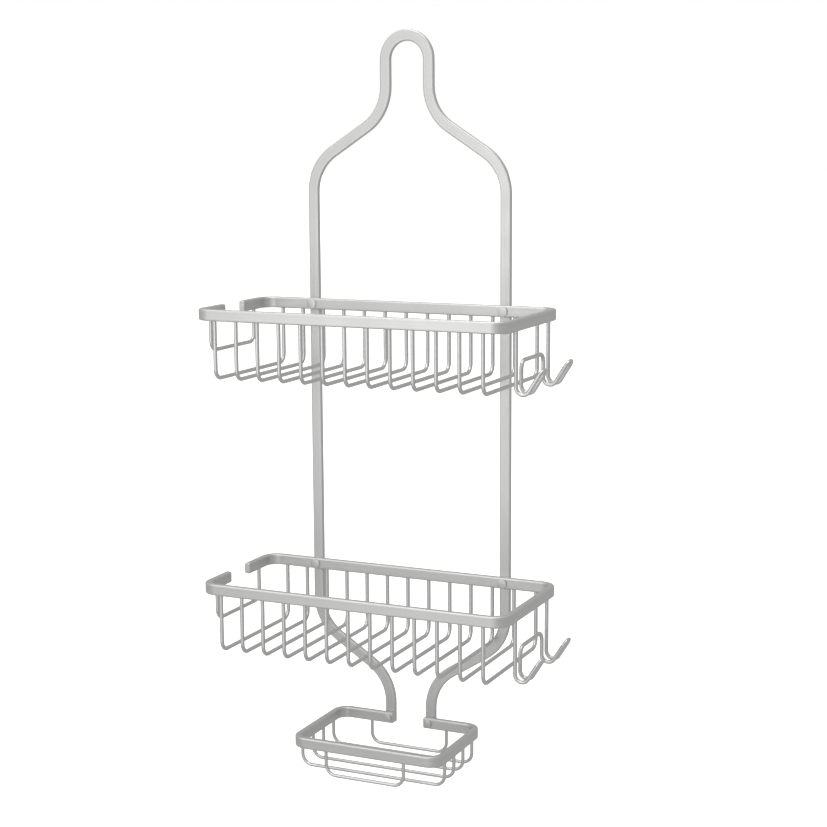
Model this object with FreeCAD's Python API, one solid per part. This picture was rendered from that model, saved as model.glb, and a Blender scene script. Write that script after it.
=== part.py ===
import FreeCAD, Part
import math
import os

# Hanging shower caddy of bent aluminium bar and rod, in millimetres.
# Origin: centre of the top loop, in the middle of the bar's thickness. +Z is up, +Y points
# to the wall behind, so the baskets stand on the -Y side.

# Hanger frame: one flat bar, wide face to the front.
frame_width = 10.7
frame_thickness = 4.9
frame_edge = 1.5
loop_radius = 22.0            # to the middle of the bar
leg_offset = 99.0             # middle of each leg from the centre line
foot_offset = 21.5            # middle of each lower end from the centre line
shoulder_corner_height = -48.7  # where the neck's and the shoulder's centre lines cross
hip_corner_height = -546.4      # where the leg's and the hip's centre lines cross
slope_angle = 57.3            # shoulders and hips, measured from the vertical
frame_bend_radius = 45.0

# Basket and dish rims: flat bar on edge.
rim_thickness = 6.1
rim_height = 10.7
rim_edge = 1.6
rim_end_edge = 1.2

# Two equal baskets.
wire_pitch = 22.0
basket_wires = 13
basket_depth = 129.3          # front bar to back bar, middle to middle
basket_width = wire_pitch * (basket_wires + 1) - rim_thickness  # side bar to side bar
basket_corner_radius = 13.0
basket_drop = 52.9            # rim underside to the middle of the floor rods
basket_heights = {"upper": -235.0, "lower": -492.0}  # rim undersides
basket_rod = 3.8
rod_bend_radius = 9.0
seat_depth = 3.0              # how far each rod end sits in its rim
seat_gap = 0.05               # round the rod in its seat
side_gap = 34.0               # opening in the left side bar
slot_rod_reach = 40.0         # left rod ends from the middle of the basket's depth
slot_rod_drop = 30.5

# Double hook on the right side bar, bent from one rod.
hook_outer_reach = 39.5       # outer uprights from the middle of the double hook
hook_width = 12.5             # between the two runs of one hook
hook_setback = 3.0            # middle of the double hook behind the middle of the basket's depth
hook_drop = 55.0              # rim underside to the middle of the hook's lowest point
hook_bar_drop = 27.0          # rim underside to the middle of the linking bar
hook_bend_radius = 6.5
hook_rise_angle = 58.0        # tip run, measured from the horizontal
hook_rise_length = 15.5
hook_bar_bend_radius = 8.0

# Soap dish.
dish_height = -640.3          # rim underside, level with the frame's lower ends
dish_width = 148.0            # side bar to side bar, middle to middle
dish_depth = 98.9
dish_corner_radius = 12.0
dish_drop = 22.3
dish_rod = 3.4
dish_rod_pitch = 21.5
dish_rods = 4
dish_short_rod_reach = 40.0   # ends of the two short rods from the centre line
dish_bend_radius = 10.0

# Rivets, front to back through a rim and the frame.
rivet_shank = 4.0
basket_rivet_head = 9.4
dish_rivet_head = 7.6
rivet_head_height = 2.1
rivet_head_side = 1.6         # straight side under the dome
rivet_tail = 6.4
rivet_tail_depth = 1.2
rivet_gap = 0.05

same_place = 1e-4             # two coordinates this close are one place

frame_front = -frame_thickness / 2
frame_back = frame_thickness / 2
back_bar_y = frame_front - rim_thickness / 2
back_bar_front = frame_front - rim_thickness
os.makedirs("parts", exist_ok=True)

X = FreeCAD.Vector(1, 0, 0)
Y = FreeCAD.Vector(0, 1, 0)
Z = FreeCAD.Vector(0, 0, 1)


class Bender:
    """A centre line made as a bending machine makes it: straight feeds and round bends."""

    def __init__(self, start, heading):
        self.start = self.place = start
        self.first_heading = self.heading = heading
        self.edges = []

    def feed(self, length):
        end = self.place + self.heading * length
        self.edges.append(Part.LineSegment(self.place, end).toShape())
        self.place = end

    def bend(self, radius, angle, axis):
        """Turn the heading by angle degrees about axis, on an arc of this radius."""
        side = math.copysign(1, angle)
        centre = self.place + axis.cross(self.heading) * (radius * side)

        def turned(vector, degrees):
            return FreeCAD.Rotation(axis, degrees).multVec(vector)

        middle = centre + turned(self.place - centre, angle / 2)
        end = centre + turned(self.place - centre, angle)
        self.edges.append(Part.Arc(self.place, middle, end).toShape())
        self.place = end
        self.heading = turned(self.heading, angle)

    def sweep(self, section):
        return Part.Wire(self.edges).makePipeShell([section], True, False)

    def rod(self, diameter):
        circle = Part.Circle(self.start, self.first_heading, diameter / 2).toShape()
        return self.sweep(Part.Wire([circle]))

    def bar(self, size_u, size_v, u, v, edge):
        """Flat bar, size_u along u and size_v along v, with its four long edges rounded."""
        return self.sweep(rounded_rectangle(self.start, size_u, size_v, u, v, edge))


def rounded_rectangle(centre, size_u, size_v, u, v, edge):
    half_u, half_v = size_u / 2, size_v / 2
    side = edge / math.sqrt(2)
    pieces = []
    corners = [(1, 1), (-1, 1), (-1, -1), (1, -1)]
    for index, (su, sv) in enumerate(corners):
        pivot = centre + u * (su * (half_u - edge)) + v * (sv * (half_v - edge))
        ends = [pivot + u * (su * edge), pivot + v * (sv * edge)]
        if su * sv < 0:
            ends.reverse()
        pieces.append(Part.Arc(ends[0], pivot + u * (su * side) + v * (sv * side), ends[1]).toShape())
        next_u, next_v = corners[(index + 1) % 4]
        next_pivot = centre + u * (next_u * (half_u - edge)) + v * (next_v * (half_v - edge))
        outward = v * (sv * edge) if su * sv > 0 else u * (su * edge)
        pieces.append(Part.LineSegment(pivot + outward, next_pivot + outward).toShape())
    return Part.Wire(pieces)


def at(x, y, z):
    return FreeCAD.Vector(x, y, z)


def export(name, shape):
    if not shape.isValid() or len(shape.Solids) != 1:
        raise RuntimeError(name + " is not one valid solid")
    shape.exportStep("parts/" + name + ".step")


def u_rod(start, inward, width, drop, bend_radius, diameter):
    """A rod that hangs from two seats: down, across by width along inward, and up."""
    down = drop + seat_depth - bend_radius
    path = Bender(start + Z * seat_depth, -Z)
    path.feed(down)
    turn_axis = -(Z.cross(inward))
    path.bend(bend_radius, 90, turn_axis)
    path.feed(width - 2 * bend_radius)
    path.bend(bend_radius, 90, turn_axis)
    path.feed(down)
    return path.rod(diameter)


def seats(places, diameter):
    """Blind holes in a rim's underside that take the rod ends."""
    radius = diameter / 2 + seat_gap
    return [Part.makeCylinder(radius, seat_depth, place, Z) for place in places]


def rivet_hole(x, z, front, back):
    return Part.makeCylinder(rivet_shank / 2 + rivet_gap, back - front, at(x, front, z), Y)


def rivet(x, z, head):
    """Domed head on the rim's front face, countersunk tail level with the frame's back."""
    half_head = head / 2
    dome_height = rivet_head_height - rivet_head_side
    dome_radius = (half_head ** 2 + dome_height ** 2) / (2 * dome_height)
    dome_centre = back_bar_front - rivet_head_height + dome_radius
    lean = math.asin(half_head / dome_radius) / 2
    crown = at(0, back_bar_front - rivet_head_height, 0)
    shoulder = at(half_head, back_bar_front - rivet_head_side, 0)
    flank = at(dome_radius * math.sin(lean), dome_centre - dome_radius * math.cos(lean), 0)
    corners = [
        shoulder,
        at(half_head, back_bar_front, 0),
        at(rivet_shank / 2, back_bar_front, 0),
        at(rivet_shank / 2, frame_back - rivet_tail_depth, 0),
        at(rivet_tail / 2, frame_back, 0),
        at(0, frame_back, 0),
        crown,
    ]
    edges = [Part.Arc(crown, flank, shoulder).toShape()]
    edges += [Part.LineSegment(a, b).toShape() for a, b in zip(corners, corners[1:])]
    solid = Part.Face(Part.Wire(edges)).revolve(at(0, 0, 0), Y, 360)
    solid.translate(at(x, 0, z))
    return solid


def rivet_places():
    """Middle of every rivet, by node name."""
    places = {}
    for side, sign in (("left", -1), ("right", 1)):
        for basket, height in basket_heights.items():
            places[basket + "_rivet_" + side] = (sign * leg_offset, height + rim_height / 2)
        places["dish_rivet_" + side] = (sign * foot_offset, dish_height + rim_height / 2)
    return places


def make_frame():
    """Loop, neck, shoulders, legs, hips and feet, bent from one bar in one plane."""
    angle = math.radians(slope_angle)
    bend_length = frame_bend_radius * math.tan(angle / 2)
    shoulder_run = (leg_offset - loop_radius) / math.sin(angle)
    hip_run = (leg_offset - foot_offset) / math.sin(angle)
    leg_top = shoulder_corner_height - shoulder_run * math.cos(angle)
    foot_corner = hip_corner_height - hip_run * math.cos(angle)
    foot_length = foot_corner - bend_length - dish_height
    leg_length = leg_top - hip_corner_height - 2 * bend_length
    neck_length = -(shoulder_corner_height + bend_length)

    path = Bender(at(-foot_offset, 0, dish_height), Z)
    # One half is climbed from the left foot; the other half mirrors it back down.
    climb = [
        (foot_length, -slope_angle),
        (hip_run - 2 * bend_length, slope_angle),
        (leg_length, slope_angle),
        (shoulder_run - 2 * bend_length, -slope_angle),
    ]
    for length, turn in climb:
        path.feed(length)
        path.bend(frame_bend_radius, turn, Y)
    path.feed(neck_length)
    path.bend(loop_radius, 180, Y)
    path.feed(neck_length)
    for length, turn in reversed(climb):
        path.bend(frame_bend_radius, turn, Y)
        path.feed(length)
    frame = path.bar(frame_width, frame_thickness, X, Y, frame_edge)

    holes = []
    for x, z in rivet_places().values():
        holes.append(rivet_hole(x, z, frame_front, frame_back))
        tail = Part.makeCone(
            rivet_shank / 2 + rivet_gap,
            rivet_tail / 2 + rivet_gap,
            rivet_tail_depth,
            at(x, frame_back - rivet_tail_depth, z),
            Y,
        )
        holes.append(tail)
    return frame.cut(holes)


def round_ends(rim, is_end):
    """Break the sharp edges of the two cut ends of a rim."""
    edges = [edge for edge in rim.Edges if is_end(edge)]
    return rim.makeFillet(rim_end_edge, edges)


def make_rim(path, height, rod_places, diameter, rivet_xs, is_end):
    rim = path.bar(rim_thickness, rim_height, path.first_heading.cross(Z), Z, rim_edge)
    rim = round_ends(rim, is_end)
    cuts = seats(rod_places, diameter)
    rivet_height = height + rim_height / 2
    cuts += [rivet_hole(x, rivet_height, back_bar_front, frame_front) for x in rivet_xs]
    return rim.cut(cuts)


def make_basket(name, height):
    half_width = basket_width / 2
    front_y = back_bar_y - basket_depth
    middle_y = back_bar_y - basket_depth / 2
    corner = basket_corner_radius

    # Floor rods, front to back.
    rod_places = []
    for index in range(basket_wires):
        x = (index - (basket_wires - 1) / 2) * wire_pitch
        start = at(x, front_y, height)
        rod_places += [start, start + Y * basket_depth]
        rod = u_rod(start, Y, basket_depth, basket_drop, rod_bend_radius, basket_rod)
        export("%s_basket_rod_%02d" % (name, index + 1), rod)

    # Shallow rod under the gap in the left side bar.
    slot_start = at(-half_width, middle_y - slot_rod_reach, height)
    rod_places += [slot_start, slot_start + Y * (2 * slot_rod_reach)]
    slot_rod = u_rod(slot_start, Y, 2 * slot_rod_reach, slot_rod_drop, rod_bend_radius, basket_rod)
    export(name + "_slot_rod", slot_rod)

    # Double hook under the right side bar.
    hook_start = at(half_width, middle_y + hook_setback - hook_outer_reach, height)
    rod_places += [hook_start, hook_start + Y * (2 * hook_outer_reach)]
    export(name + "_hook_rod", make_hook(hook_start))

    # Rim, from the front end of the gap round to its back end.
    stub = (basket_depth - side_gap) / 2 - corner
    end_y = [middle_y - side_gap / 2, middle_y + side_gap / 2]
    path = Bender(at(-half_width, end_y[0], height + rim_height / 2), -Y)
    path.feed(stub)
    for side in (basket_width, basket_depth, basket_width):
        path.bend(corner, 90, Z)
        path.feed(side - 2 * corner)
    path.bend(corner, 90, Z)
    path.feed(stub)

    def is_end(edge):
        box = edge.BoundBox
        on_a_cut = any(abs(box.YMin - y) < same_place for y in end_y)
        return box.YLength < same_place and on_a_cut and box.XMax < 0

    rim = make_rim(path, height, rod_places, basket_rod, [-leg_offset, leg_offset], is_end)
    export(name + "_basket_rim", rim)


def make_hook(start):
    """Down, round and up to the tip, back beside itself, and the same again beyond the link bar."""
    turn = 90 + hook_rise_angle
    straight_drop = hook_drop - hook_bend_radius
    path = Bender(start + Z * seat_depth, -Z)
    path.feed(seat_depth + straight_drop)

    def tip():
        path.bend(hook_bend_radius, -turn, Y)
        path.feed(hook_rise_length)
        path.bend(hook_width / 2, 180, path.heading.cross(Y))
        path.feed(hook_rise_length)
        path.bend(hook_bend_radius, turn, Y)

    upright = straight_drop - hook_bar_drop - hook_bar_bend_radius
    tip()
    path.feed(upright)
    path.bend(hook_bar_bend_radius, -90, X)
    path.feed(2 * (hook_outer_reach - hook_width - hook_bar_bend_radius))
    path.bend(hook_bar_bend_radius, -90, X)
    path.feed(upright)
    tip()
    path.feed(seat_depth + straight_drop)
    return path.rod(basket_rod)


def make_dish():
    half_width = dish_width / 2
    front_y = back_bar_y - dish_depth
    corner = dish_corner_radius

    rod_places = []
    first_y = back_bar_y - (dish_depth - dish_rod_pitch * (dish_rods - 1)) / 2
    for index in range(dish_rods):
        start = at(-half_width, first_y - index * dish_rod_pitch, dish_height)
        rod_places += [start, start + X * dish_width]
        rod = u_rod(start, X, dish_width, dish_drop, dish_bend_radius, dish_rod)
        export("dish_long_rod_%d" % (index + 1), rod)
    for name, y in (("front", front_y), ("back", back_bar_y)):
        start = at(-dish_short_rod_reach, y, dish_height)
        width = 2 * dish_short_rod_reach
        rod_places += [start, start + X * width]
        export("dish_%s_rod" % name, u_rod(start, X, width, dish_drop, dish_bend_radius, dish_rod))

    # Rim, from its left end at the back round the front to its right end.
    end_x = foot_offset - frame_width / 2
    path = Bender(at(-end_x, back_bar_y, dish_height + rim_height / 2), -X)
    path.feed(half_width - end_x - corner)
    for side in (dish_depth, dish_width, dish_depth):
        path.bend(corner, 90, Z)
        path.feed(side - 2 * corner)
    path.bend(corner, 90, Z)
    path.feed(half_width - end_x - corner)

    def is_end(edge):
        box = edge.BoundBox
        return box.XLength < same_place and abs(abs(box.XMin) - end_x) < same_place

    rim = make_rim(path, dish_height, rod_places, dish_rod, [-foot_offset, foot_offset], is_end)
    export("dish_rim", rim)


export("hanger_frame", make_frame())
for basket, height in basket_heights.items():
    make_basket(basket, height)
make_dish()
for name, (x, z) in rivet_places().items():
    export(name, rivet(x, z, dish_rivet_head if name.startswith("dish") else basket_rivet_head))
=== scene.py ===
import bmesh
import bpy
import math
from mathutils import Matrix, Vector


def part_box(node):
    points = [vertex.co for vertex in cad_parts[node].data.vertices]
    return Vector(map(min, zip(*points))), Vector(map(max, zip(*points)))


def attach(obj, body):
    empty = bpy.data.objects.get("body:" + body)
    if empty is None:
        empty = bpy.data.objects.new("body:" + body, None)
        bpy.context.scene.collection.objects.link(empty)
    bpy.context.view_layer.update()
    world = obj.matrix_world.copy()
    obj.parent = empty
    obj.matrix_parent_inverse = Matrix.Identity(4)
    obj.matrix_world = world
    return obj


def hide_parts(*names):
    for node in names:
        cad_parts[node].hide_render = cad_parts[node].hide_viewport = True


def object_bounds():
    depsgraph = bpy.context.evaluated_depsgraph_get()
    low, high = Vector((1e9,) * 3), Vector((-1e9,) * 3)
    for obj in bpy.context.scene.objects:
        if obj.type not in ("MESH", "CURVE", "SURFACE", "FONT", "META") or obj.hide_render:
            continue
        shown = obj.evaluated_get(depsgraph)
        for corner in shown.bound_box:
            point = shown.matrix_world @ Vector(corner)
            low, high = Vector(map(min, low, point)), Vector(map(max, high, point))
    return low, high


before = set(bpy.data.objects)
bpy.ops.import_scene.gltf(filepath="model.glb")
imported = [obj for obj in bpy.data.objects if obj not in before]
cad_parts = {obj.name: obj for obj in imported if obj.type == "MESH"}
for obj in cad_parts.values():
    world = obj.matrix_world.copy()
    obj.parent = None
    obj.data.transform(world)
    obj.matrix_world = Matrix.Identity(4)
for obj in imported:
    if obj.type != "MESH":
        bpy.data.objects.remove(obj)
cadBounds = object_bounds()
mm = 0.001
alongX, alongY, alongZ = Vector((1, 0, 0)), Vector((0, 1, 0)), Vector((0, 0, 1))
smoothness = {
    "rodSides": 32,
    "edgeSteps": 6,              # round each long edge of a bar
    "endSteps": 4,               # round each edge of a cut end
    "degreesPerStep": 5,
    "fewestSteps": 4,            # in any bend
    "sharpAngle": 35,
}
pieces = {}                      # finished pieces by material slot


def makeActive(*pieces):
    bpy.ops.object.select_all(action="DESELECT")
    for piece in pieces:
        piece.select_set(True)
    bpy.context.view_layer.objects.active = pieces[0]


def settle(name):
    # the new primitive gets its name, and its place goes into its mesh
    piece = bpy.context.object
    piece.name = piece.data.name = name
    bpy.ops.object.transform_apply(location=True, rotation=True, scale=True)
    return piece


def startRod(name, place, diameter):
    bpy.ops.object.select_all(action="DESELECT")
    bpy.ops.mesh.primitive_circle_add(vertices=smoothness["rodSides"], radius=diameter / 2, location=place)
    rod = settle(name)
    bpy.ops.object.mode_set(mode="EDIT")
    bpy.ops.mesh.select_all(action="SELECT")
    return rod


def startBar(name, place, width, thickness, edge, turn):
    # the bar's section: a plane with rounded corners, kept as a ring of edges
    bpy.ops.object.select_all(action="DESELECT")
    bpy.ops.mesh.primitive_plane_add(size=1, location=place, rotation=turn)
    bpy.context.object.scale = (width, thickness, 1)
    bar = settle(name)
    bpy.ops.object.mode_set(mode="EDIT")
    bpy.ops.mesh.select_all(action="SELECT")
    bpy.ops.mesh.bevel(offset=edge, segments=smoothness["edgeSteps"], affect="VERTICES")
    bpy.ops.mesh.delete(type="ONLY_FACE")
    bpy.ops.mesh.select_all(action="SELECT")
    # each corner keeps its place across the section, which every run and bend passes on
    section = bmesh.from_edit_mesh(bar.data)
    across = section.verts.layers.float.new("across")
    for corner in section.verts:
        corner[across] = sum(corner.co - Vector(place))
    bmesh.update_edit_mesh(bar.data)
    return bar


def feed(path, length):
    # a straight run: the open end is extruded along the heading
    bpy.ops.mesh.extrude_region_move(TRANSFORM_OT_translate={"value": path["heading"] * length})
    path["place"] = path["place"] + path["heading"] * length


def bend(path, radius, degrees, axis):
    # a round bend: the open end is spun about the bend's centre
    centre = path["place"] + axis.cross(path["heading"]) * math.copysign(radius, degrees)
    steps = max(smoothness["fewestSteps"], round(abs(degrees) / smoothness["degreesPerStep"]))
    bpy.ops.mesh.spin(steps=steps, angle=-math.radians(degrees), center=centre, axis=axis)
    turn = Matrix.Rotation(math.radians(degrees), 3, axis)
    path["place"] = centre + turn @ (path["place"] - centre)
    path["heading"] = turn @ path["heading"]


def closeEnds(endEdge=0):
    # both open ends are capped; a bar's cut ends are rounded as well
    bpy.ops.mesh.select_all(action="SELECT")
    bpy.ops.mesh.fill_holes(sides=0)
    if endEdge:
        bpy.ops.mesh.select_face_by_sides(number=4, type="GREATER", extend=False)
        bpy.ops.mesh.bevel(offset=endEdge, segments=smoothness["endSteps"], affect="EDGES")
    bpy.ops.mesh.select_all(action="SELECT")
    bpy.ops.mesh.normals_make_consistent(inside=False)
    bpy.ops.object.mode_set(mode="OBJECT")


def selectFaces(piece, test):
    bpy.ops.mesh.select_all(action="DESELECT")
    shape = bmesh.from_edit_mesh(piece.data)
    for face in shape.faces:
        if test(face):
            face.select_set(True)
    bmesh.update_edit_mesh(piece.data)


def cutHoles(piece, holes):
    # each hole is a cylinder or cone: centre, two radii, depth and turn
    cutters = []
    for centre, firstRadius, lastRadius, depth, turn in holes:
        bpy.ops.object.select_all(action="DESELECT")
        bpy.ops.mesh.primitive_cone_add(
            vertices=smoothness["rodSides"], radius1=firstRadius, radius2=lastRadius, depth=depth,
            location=centre, rotation=turn)
        cutters.append(settle("cutter"))
    makeActive(*cutters)
    bpy.ops.object.join()
    cutter = bpy.context.object
    makeActive(piece)
    cut = piece.modifiers.new("Holes", "BOOLEAN")
    cut.operation, cut.solver, cut.object = "DIFFERENCE", "EXACT", cutter
    bpy.ops.object.modifier_apply(modifier=cut.name)
    makeActive(cutter)
    bpy.ops.object.delete()


def smoothShade(piece):
    makeActive(piece)
    bpy.ops.object.shade_smooth_by_angle(angle=math.radians(smoothness["sharpAngle"]))
    even = piece.modifiers.new("EvenFlats", "WEIGHTED_NORMAL")
    even.keep_sharp = True
    bpy.ops.object.modifier_apply(modifier=even.name)


def camelName(node):
    first, *rest = node.split("_")
    return first + "".join(word.capitalize() for word in rest)


def finish(piece, nodes, slot):
    # the first piece is shaded and copied to the place of each other node, then all of them ride on the caddy
    smoothShade(piece)
    made = [piece]
    for node in nodes[1:]:
        makeActive(piece)
        bpy.ops.object.duplicate()
        bpy.ops.transform.translate(value=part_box(node)[0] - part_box(nodes[0])[0])
        made.append(settle(camelName(node)))
    for part, node in zip(made, nodes):
        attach(part, "root")
        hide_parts(node)
        pieces.setdefault(slot, []).append(part)


baskets = ("upper", "lower")

# Rods: each hangs as a U from two seats in its rim
rodBends = {"basket": 9 * mm, "slot": 9 * mm, "dish": 10 * mm}


def uRod(node, inward, bendRadius):
    low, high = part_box(node)
    sideways = alongY if inward == alongX else alongX
    radius = (high - low).dot(sideways) / 2
    start = Vector((low.x + radius, low.y + radius, high.z))
    path = {"place": start, "heading": -alongZ}
    drop = high.z - low.z - radius - bendRadius
    rod = startRod(camelName(node), start, 2 * radius)
    feed(path, drop)
    turnAxis = -alongZ.cross(inward)
    bend(path, bendRadius, 90, turnAxis)
    feed(path, (high - low).dot(inward) - 2 * radius - 2 * bendRadius)
    bend(path, bendRadius, 90, turnAxis)
    feed(path, drop)
    closeEnds()
    return rod


rodsPerBasket = 13
basketRods = [
    f"{basket}_basket_rod_{count:02d}" for basket in baskets for count in range(1, rodsPerBasket + 1)]
slotRods = [f"{basket}_slot_rod" for basket in baskets]
longRods = [f"dish_long_rod_{count}" for count in (1, 2, 3, 4)]
shortRods = ["dish_front_rod", "dish_back_rod"]
finish(uRod(basketRods[0], alongY, rodBends["basket"]), basketRods, "rod")
finish(uRod(slotRods[0], alongY, rodBends["slot"]), slotRods, "rod")
finish(uRod(longRods[0], alongX, rodBends["dish"]), longRods, "rod")
finish(uRod(shortRods[0], alongX, rodBends["dish"]), shortRods, "rod")
print("rods done")

# Double hook: down, round and up to the tip, back beside itself, and the same beyond the link bar
hook = {
    "diameter": 3.8 * mm,
    "width": 12.5 * mm,          # between the two runs of one hook
    "bendRadius": 6.5 * mm,
    "riseAngle": 58,             # tip run from the horizontal
    "riseLength": 15.5 * mm,
    "linkDepth": 28 * mm,        # link bar above the hook's lowest point
    "linkBendRadius": 8 * mm,
}


def hookRod(node):
    low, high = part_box(node)
    radius = hook["diameter"] / 2
    start = Vector((low.x + radius, low.y + radius, high.z))
    path = {"place": start, "heading": -alongZ}
    down = high.z - low.z - radius - hook["bendRadius"]
    turn = 90 + hook["riseAngle"]
    upright = hook["linkDepth"] - hook["bendRadius"] - hook["linkBendRadius"]

    def tip():
        bend(path, hook["bendRadius"], -turn, alongY)
        feed(path, hook["riseLength"])
        bend(path, hook["width"] / 2, 180, path["heading"].cross(alongY))
        feed(path, hook["riseLength"])
        bend(path, hook["bendRadius"], turn, alongY)

    rod = startRod(camelName(node), start, hook["diameter"])
    feed(path, down)
    tip()
    feed(path, upright)
    bend(path, hook["linkBendRadius"], -90, alongX)
    feed(path, high.y - low.y - 2 * radius - 2 * hook["width"] - 2 * hook["linkBendRadius"])
    bend(path, hook["linkBendRadius"], -90, alongX)
    feed(path, upright)
    tip()
    feed(path, down)
    closeEnds()
    return rod


hookRods = [f"{basket}_hook_rod" for basket in baskets]
finish(hookRod(hookRods[0]), hookRods, "rod")
print("hooks done")

# Rims: flat bar on edge, bent round four corners, with a gap in one side
rim = {
    "thickness": 6.1 * mm,
    "edge": 1.6 * mm,
    "endEdge": 1.2 * mm,
    "basketCorner": 13 * mm,
    "dishCorner": 12 * mm,
    "gap": 34 * mm,
    "seatDepth": 3 * mm,
    "seatClearance": 0.05 * mm,
}
rivet = {
    "shank": 4 * mm,
    "headHeight": 2.1 * mm,
    "headSide": 1.6 * mm,        # straight side under the dome
    "tail": 6.4 * mm,
    "tailDepth": 1.2 * mm,
    "sides": 48,
    "domeSteps": 6,
    "clearance": 0.05 * mm,
}
endOn = (-math.pi / 2, 0, 0)     # a hole or section that looks along +Y
sideOn = (0, math.pi / 2, 0)     # a section that looks along +X


def rivetCentre(node):
    low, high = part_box(node)
    return (low + high) / 2


def seatHoles(nodes):
    # a blind seat for each end of each rod; both ends of a hook rod stand in one side of the rim
    holes = []
    for node in nodes:
        low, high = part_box(node)
        isHook = node in hookRods
        radius = hook["diameter"] / 2 if isHook else min(high.x - low.x, high.y - low.y) / 2
        first = Vector((low.x + radius, low.y + radius, high.z))
        last = Vector((first.x if isHook else high.x - radius, high.y - radius, high.z))
        for end in (first, last):
            cut = radius + rim["seatClearance"]
            centre = end - alongZ * rim["seatDepth"]
            holes.append((centre, cut, cut, 2 * rim["seatDepth"], (0, 0, 0)))
    return holes


def rimHoles(rods, rivets, backY):
    holes = seatHoles(rods)
    for node in rivets:
        centre = rivetCentre(node)
        centre.y = backY - rim["thickness"] / 2
        radius = rivet["shank"] / 2 + rivet["clearance"]
        holes.append((centre, radius, radius, 2 * rim["thickness"], endOn))
    return holes


def bendRim(path, sides, corner, stub):
    # from one end of the gap round all four corners to the other end
    feed(path, stub)
    for side in sides:
        bend(path, corner, 90, alongZ)
        feed(path, side - 2 * corner)
    bend(path, corner, 90, alongZ)
    feed(path, stub)
    closeEnds(rim["endEdge"])


def basketRim(node, rods, rivets):
    low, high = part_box(node)
    half = rim["thickness"] / 2
    corner = rim["basketCorner"]
    middle = (low + high) / 2
    width, depth = high.x - low.x - 2 * half, high.y - low.y - 2 * half
    stub = (depth - rim["gap"]) / 2 - corner
    start = Vector((low.x + half, middle.y - rim["gap"] / 2, middle.z))
    path = {"place": start, "heading": -alongY}
    bar = startBar(camelName(node), start, rim["thickness"], high.z - low.z, rim["edge"], endOn)
    bendRim(path, (width, depth, width), corner, stub)
    cutHoles(bar, rimHoles(rods, rivets, high.y))
    return bar


upperRods = [*basketRods[:rodsPerBasket], slotRods[0], hookRods[0]]
rivetNodes = [f"{place}_rivet_{side}" for place in (*baskets, "dish") for side in ("left", "right")]
basketRivets, dishRivets = rivetNodes[:-2], rivetNodes[-2:]
rimNodes = [f"{basket}_basket_rim" for basket in baskets]
finish(basketRim(rimNodes[0], upperRods, basketRivets[:2]), rimNodes, "rim_bar")
print("basket rims done")


def dishRim(node, rods, rivets, gap):
    low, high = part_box(node)
    half = rim["thickness"] / 2
    corner = rim["dishCorner"]
    middle = (low + high) / 2
    width, depth = high.x - low.x - 2 * half, high.y - low.y - 2 * half
    stub = (width - gap) / 2 - corner
    start = Vector((middle.x - gap / 2, high.y - half, middle.z))
    path = {"place": start, "heading": -alongX}
    bar = startBar(camelName(node), start, high.z - low.z, rim["thickness"], rim["edge"], sideOn)
    bendRim(path, (depth, width, depth), corner, stub)
    cutHoles(bar, rimHoles(rods, rivets, high.y))
    return bar


# Hanger frame: one flat bar in one plane, from the left foot over the loop to the right foot
hanger = {
    "width": 10.7 * mm,
    "edge": 1.5 * mm,
    "footEdge": 0.4 * mm,
    "loopRadius": 22 * mm,
    "footOffset": 21.5 * mm,     # the feet's centre lines from the middle
    "shoulderCorner": -48.7 * mm,  # height where the neck's and the shoulder's centre lines meet
    "hipCorner": -546.4 * mm,    # and where the leg's and the hip's meet
    "slope": 57.3,               # shoulders and hips from the vertical, in degrees
    "bendRadius": 45 * mm,
}


def hangerFrame(node, rivets):
    low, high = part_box(node)
    thickness = high.y - low.y
    legOffset = high.x - hanger["width"] / 2
    slope = math.radians(hanger["slope"])
    setback = hanger["bendRadius"] * math.tan(slope / 2)
    shoulderRun = (legOffset - hanger["loopRadius"]) / math.sin(slope)
    hipRun = (legOffset - hanger["footOffset"]) / math.sin(slope)
    legTop = hanger["shoulderCorner"] - shoulderRun * math.cos(slope)
    footCorner = hanger["hipCorner"] - hipRun * math.cos(slope)
    neck = -(hanger["shoulderCorner"] + setback)
    climb = [
        (footCorner - setback - low.z, -hanger["slope"]),
        (hipRun - 2 * setback, hanger["slope"]),
        (legTop - hanger["hipCorner"] - 2 * setback, hanger["slope"]),
        (shoulderRun - 2 * setback, -hanger["slope"]),
    ]
    start = Vector((-hanger["footOffset"], 0, low.z))
    path = {"place": start, "heading": alongZ.copy()}
    bar = startBar(camelName(node), start, hanger["width"], thickness, hanger["edge"], (0, 0, 0))
    for length, turn in climb:
        feed(path, length)
        bend(path, hanger["bendRadius"], turn, alongY)
    feed(path, neck)
    bend(path, hanger["loopRadius"], 180, alongY)
    feed(path, neck)
    for length, turn in reversed(climb):
        bend(path, hanger["bendRadius"], turn, alongY)
        feed(path, length)
    closeEnds(hanger["footEdge"])
    # each rivet's hole is countersunk from the back for its tail
    radius = rivet["shank"] / 2 + rivet["clearance"]
    deep = rivet["tailDepth"]
    slant = (rivet["tail"] - rivet["shank"]) / 2 / deep
    holes = []
    for rivetNode in rivets:
        centre = rivetCentre(rivetNode)
        centre.y = 0
        holes.append((centre, radius, radius, 2 * thickness, endOn))
        holes.append((centre + alongY * high.y, radius, radius + 2 * deep * slant, 2 * deep, endOn))
    cutHoles(bar, holes)
    return bar


finish(hangerFrame("hanger_frame", rivetNodes), ["hanger_frame"], "frame_bar")
print("hanger frame done")

dishGap = 2 * hanger["footOffset"] - hanger["width"]
finish(dishRim("dish_rim", longRods + shortRods, dishRivets, dishGap), ["dish_rim"], "rim_bar")
print("dish rim done")


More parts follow.
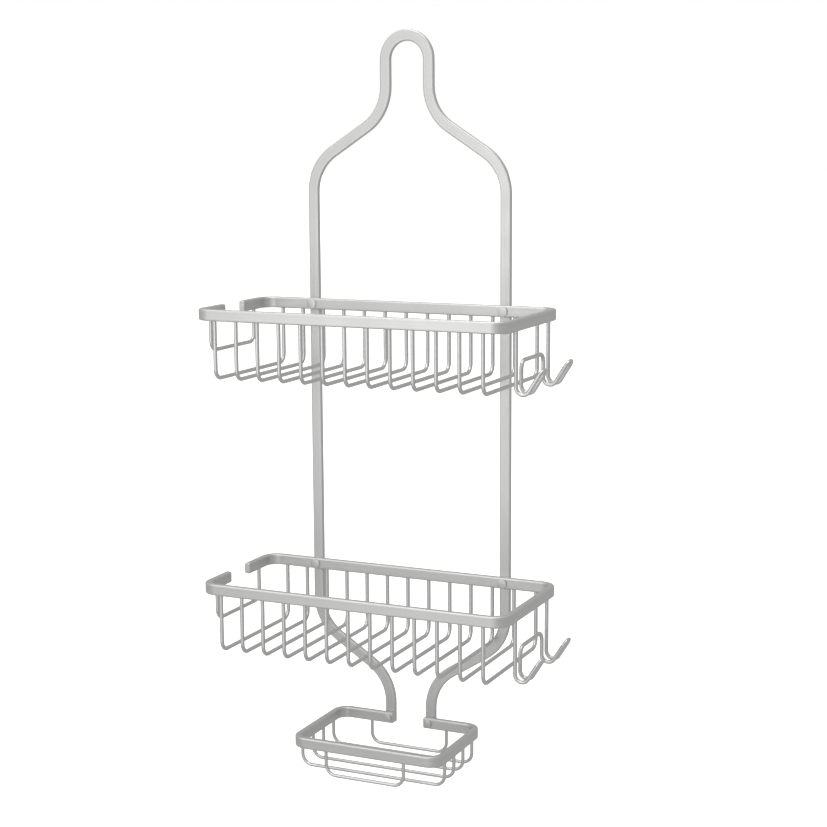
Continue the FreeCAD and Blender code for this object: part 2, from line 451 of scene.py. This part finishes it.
def makeRivet(node):
    # a disc makes the head's side; its front is inset into the dome, its back drawn out as shank and tail
    low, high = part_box(node)
    centre = (low + high) / 2
    headRadius = (high.x - low.x) / 2
    domeHeight = rivet["headHeight"] - rivet["headSide"]
    domeRadius = (headRadius ** 2 + domeHeight ** 2) / (2 * domeHeight)
    lean = math.asin(headRadius / domeRadius)
    seat = low.y + rivet["headHeight"]
    bpy.ops.object.select_all(action="DESELECT")
    bpy.ops.mesh.primitive_cylinder_add(
        vertices=rivet["sides"], radius=headRadius, depth=rivet["headSide"],
        location=(centre.x, seat - rivet["headSide"] / 2, centre.z), rotation=(math.pi / 2, 0, 0))
    piece = settle(camelName(node))
    bpy.ops.object.mode_set(mode="EDIT")
    selectFaces(piece, lambda face: face.normal.y < -0.9)  # the front
    for step in range(rivet["domeSteps"]):
        here, there = (lean * (1 - (step + k) / (rivet["domeSteps"] + 1)) for k in (0, 1))
        bpy.ops.mesh.inset(
            thickness=domeRadius * (math.sin(here) - math.sin(there)),
            depth=domeRadius * (math.cos(there) - math.cos(here)))
    selectFaces(piece, lambda face: face.normal.y > 0.9)  # the back
    bpy.ops.mesh.inset(thickness=headRadius - rivet["shank"] / 2)
    shankLength = high.y - rivet["tailDepth"] - seat
    bpy.ops.mesh.extrude_region_move(TRANSFORM_OT_translate={"value": alongY * shankLength})
    bpy.ops.mesh.extrude_region_move(TRANSFORM_OT_translate={"value": alongY * rivet["tailDepth"]})
    spread = rivet["tail"] / rivet["shank"]
    bpy.ops.transform.resize(value=(spread, 1, spread), center_override=centre)
    bpy.ops.object.mode_set(mode="OBJECT")
    return piece


for rivets in (basketRivets, dishRivets):
    finish(makeRivet(rivets[0]), rivets, "rivet")
print("rivets done")


def toLinear(hexColour):
    channels = [int(hexColour[i:i + 2], 16) / 255 for i in (1, 3, 5)]
    return [c / 12.92 if c <= 0.04045 else ((c + 0.055) / 1.055) ** 2.4 for c in channels] + [1]


def addNode(tree, kind, settings, inputs):
    # inputs: a plain value, or (node, output name) for a link
    node = tree.nodes.new(kind)
    for key, value in settings.items():
        setattr(node, key, value)
    for key, value in inputs.items():
        if isinstance(value, tuple) and isinstance(value[0], bpy.types.Node):
            tree.links.new(value[0].outputs[value[1]], node.inputs[key])
        else:
            node.inputs[key].default_value = value
    return node


# Blasted and anodised aluminium: even, matte silver whose fine frosting spreads each light into a soft glow.
# Real frosting is about 0.15 mm; it is drawn coarser than that, so that it shows.
blastedFinishes = {
    "frame_bar": {
        "name": "blastedAnodisedBar",
        "light": "#d9d9d8", "dark": "#c5c5c4",
        "roughness": (0.45, 0.53), "cloud": 35 * mm,
        "grain": 0.8 * mm, "grainDepth": 0.004 * mm,
        "dieLines": 1.5 * mm,    # faint lines along a drawn bar, left by its die
    },
    "rim_bar": {
        "name": "blastedAnodisedRim",
        "light": "#dadad9", "dark": "#c6c6c5",
        "roughness": (0.45, 0.53), "cloud": 35 * mm,
        "grain": 0.8 * mm, "grainDepth": 0.004 * mm,
        "dieLines": 1.5 * mm,
    },
    "rod": {                     # a little glossier, so each rod carries a soft bright line
        "name": "blastedAnodisedRod",
        "light": "#d6d6d5", "dark": "#cfcfce",
        "roughness": (0.34, 0.41), "cloud": 25 * mm,
        "grain": 0.6 * mm, "grainDepth": 0.003 * mm,
    },
    "rivet": {
        "name": "blastedAnodisedRivet",
        "light": "#d4d4d3", "dark": "#cccccb",
        "roughness": (0.40, 0.48), "cloud": 12 * mm,
        "grain": 0.6 * mm, "grainDepth": 0.003 * mm,
    },
}
cloudRange = (0.3, 0.7)          # most of a noise's values lie between these


def blastedAluminium(look):
    material = bpy.data.materials.new(look["name"])
    material.use_nodes = True
    tree = material.node_tree
    surface = tree.nodes["Principled BSDF"]
    surface.inputs["Metallic"].default_value = 1
    place = addNode(tree, "ShaderNodeTexCoord", {}, {})
    cloud = addNode(tree, "ShaderNodeTexNoise", {}, {
        "Vector": (place, "Object"), "Scale": 1 / look["cloud"], "Detail": 3})
    shade = cloud
    if "dieLines" in look:
        spot = addNode(tree, "ShaderNodeAttribute", {"attribute_name": "across"}, {})
        shade = addNode(tree, "ShaderNodeTexNoise", {"noise_dimensions": "1D"}, {
            "W": (spot, "Fac"), "Scale": 1 / look["dieLines"], "Detail": 2})
    tone = addNode(tree, "ShaderNodeMix", {"data_type": "RGBA"}, {
        "Factor": (shade, "Fac"), "A": toLinear(look["dark"]), "B": toLinear(look["light"])})
    tree.links.new(tone.outputs["Result"], surface.inputs["Base Color"])
    low, high = look["roughness"]
    sheen = addNode(tree, "ShaderNodeMapRange", {}, {
        "Value": (cloud, "Fac"), "From Min": cloudRange[0], "From Max": cloudRange[1],
        "To Min": low, "To Max": high})
    tree.links.new(sheen.outputs["Result"], surface.inputs["Roughness"])
    grain = addNode(tree, "ShaderNodeTexNoise", {}, {
        "Vector": (place, "Object"), "Scale": 1 / look["grain"], "Detail": 2})
    frost = addNode(tree, "ShaderNodeBump", {}, {
        "Height": (grain, "Fac"), "Strength": 1, "Distance": look["grainDepth"]})
    tree.links.new(frost.outputs["Normal"], surface.inputs["Normal"])
    return material


for slot, group in pieces.items():
    metal = blastedAluminium(blastedFinishes[slot])
    for piece in group:
        piece.data.materials.clear()
        piece.data.materials.append(metal)
print("finishes done")

# Stage: a plain white floor well below the hanging caddy, in a plain white room
stage = {"floorDrop": 0.6, "floorRadius": 40, "floorSides": 96, "roomLight": 0.53}
bpy.ops.object.select_all(action="DESELECT")
bpy.ops.mesh.primitive_circle_add(
    vertices=stage["floorSides"], radius=stage["floorRadius"], fill_type="NGON",
    location=(0, 0, cadBounds[0].z - stage["floorDrop"]))
floor = settle("floor")
paint = bpy.data.materials.new("whiteFloorPaint")
paint.use_nodes = True
floorPaint = paint.node_tree.nodes["Principled BSDF"]
floorPaint.inputs["Base Color"].default_value = toLinear("#f6f6f6")
floorPaint.inputs["Roughness"].default_value = 0.9
floorPaint.inputs["Emission Color"].default_value = (1, 1, 1, 1)
floorPaint.inputs["Emission Strength"].default_value = 1  # as white as the room, so no horizon shows
paint.cycles.emission_sampling = "NONE"  # it lights nothing, so no samples go to it
floor.data.materials.append(paint)
floor.visible_glossy = False  # the metal mirrors the dimmer room instead
floor.visible_diffuse = False

# The room looks plain white, and lights the metal less strongly than it looks
room = bpy.data.worlds.new("whiteRoom")
bpy.context.scene.world = room
room.use_nodes = True
tree = room.node_tree
glow = tree.nodes["Background"]
glow.inputs["Color"].default_value = (1, 1, 1, 1)
glow.inputs["Strength"].default_value = stage["roomLight"]
ray = addNode(tree, "ShaderNodeLightPath", {}, {})
seen = addNode(tree, "ShaderNodeBackground", {}, {"Color": (1, 1, 1, 1), "Strength": 1})
mixed = addNode(tree, "ShaderNodeMixShader", {}, {
    0: (ray, "Is Camera Ray"), 1: (glow, "Background"), 2: (seen, "Background")})
tree.links.new(mixed.outputs["Shader"], tree.nodes["World Output"].inputs["Surface"])

# Softboxes, unseen themselves: centre and aim in metres, then width, height and power
softboxes = {
    "frontHigh": ((0, -0.81, 0.10), (0, -0.06, 0.10), 0.35, 0.35, 0.8),
    "frontMiddle": ((-0.2, -0.79, -0.25), (0, -0.06, -0.25), 0.7, 0.35, 0.8),
    "frontLow": ((0, -0.81, -0.60), (0, -0.06, -0.60), 0.9, 0.35, 0.65),
    "leftHigh": ((-1.45, -1.5, 1.1), (0, -0.06, -0.3), 1.6, 1.2, 8.5),
    "overhead": ((0, -0.35, 1.5), (0, -0.06, -0.3), 1.6, 1.0, 15),
}
for name, (centre, target, width, height, power) in softboxes.items():
    bpy.ops.object.light_add(type="AREA", location=centre)
    lamp = bpy.context.object
    lamp.name = name
    lamp.data.shape = "RECTANGLE"
    lamp.data.size, lamp.data.size_y, lamp.data.energy = width, height, power
    lamp.rotation_euler = (Vector(target) - Vector(centre)).to_track_quat("-Z", "Y").to_euler()
    lamp.visible_camera = False
print("stage and lights done")

# Camera: angles in degrees, a little from the right and from above
view = {"yaw": 24.73, "pitch": 9.245, "roll": -0.339, "place": (710.97, -1534.1, -56.75), "lens": 78.14}
bpy.ops.object.camera_add(location=Vector(view["place"]) * mm)
camera = bpy.context.object
turn = Matrix.Rotation(math.radians(view["yaw"]), 3, "Z")
turn = turn @ Matrix.Rotation(math.radians(90 - view["pitch"]), 3, "X")
turn = turn @ Matrix.Rotation(math.radians(view["roll"]), 3, "Z")
camera.rotation_euler = turn.to_euler()
camera.data.lens = view["lens"]
bpy.context.scene.camera = camera
bpy.context.scene.view_settings.view_transform = "Standard"
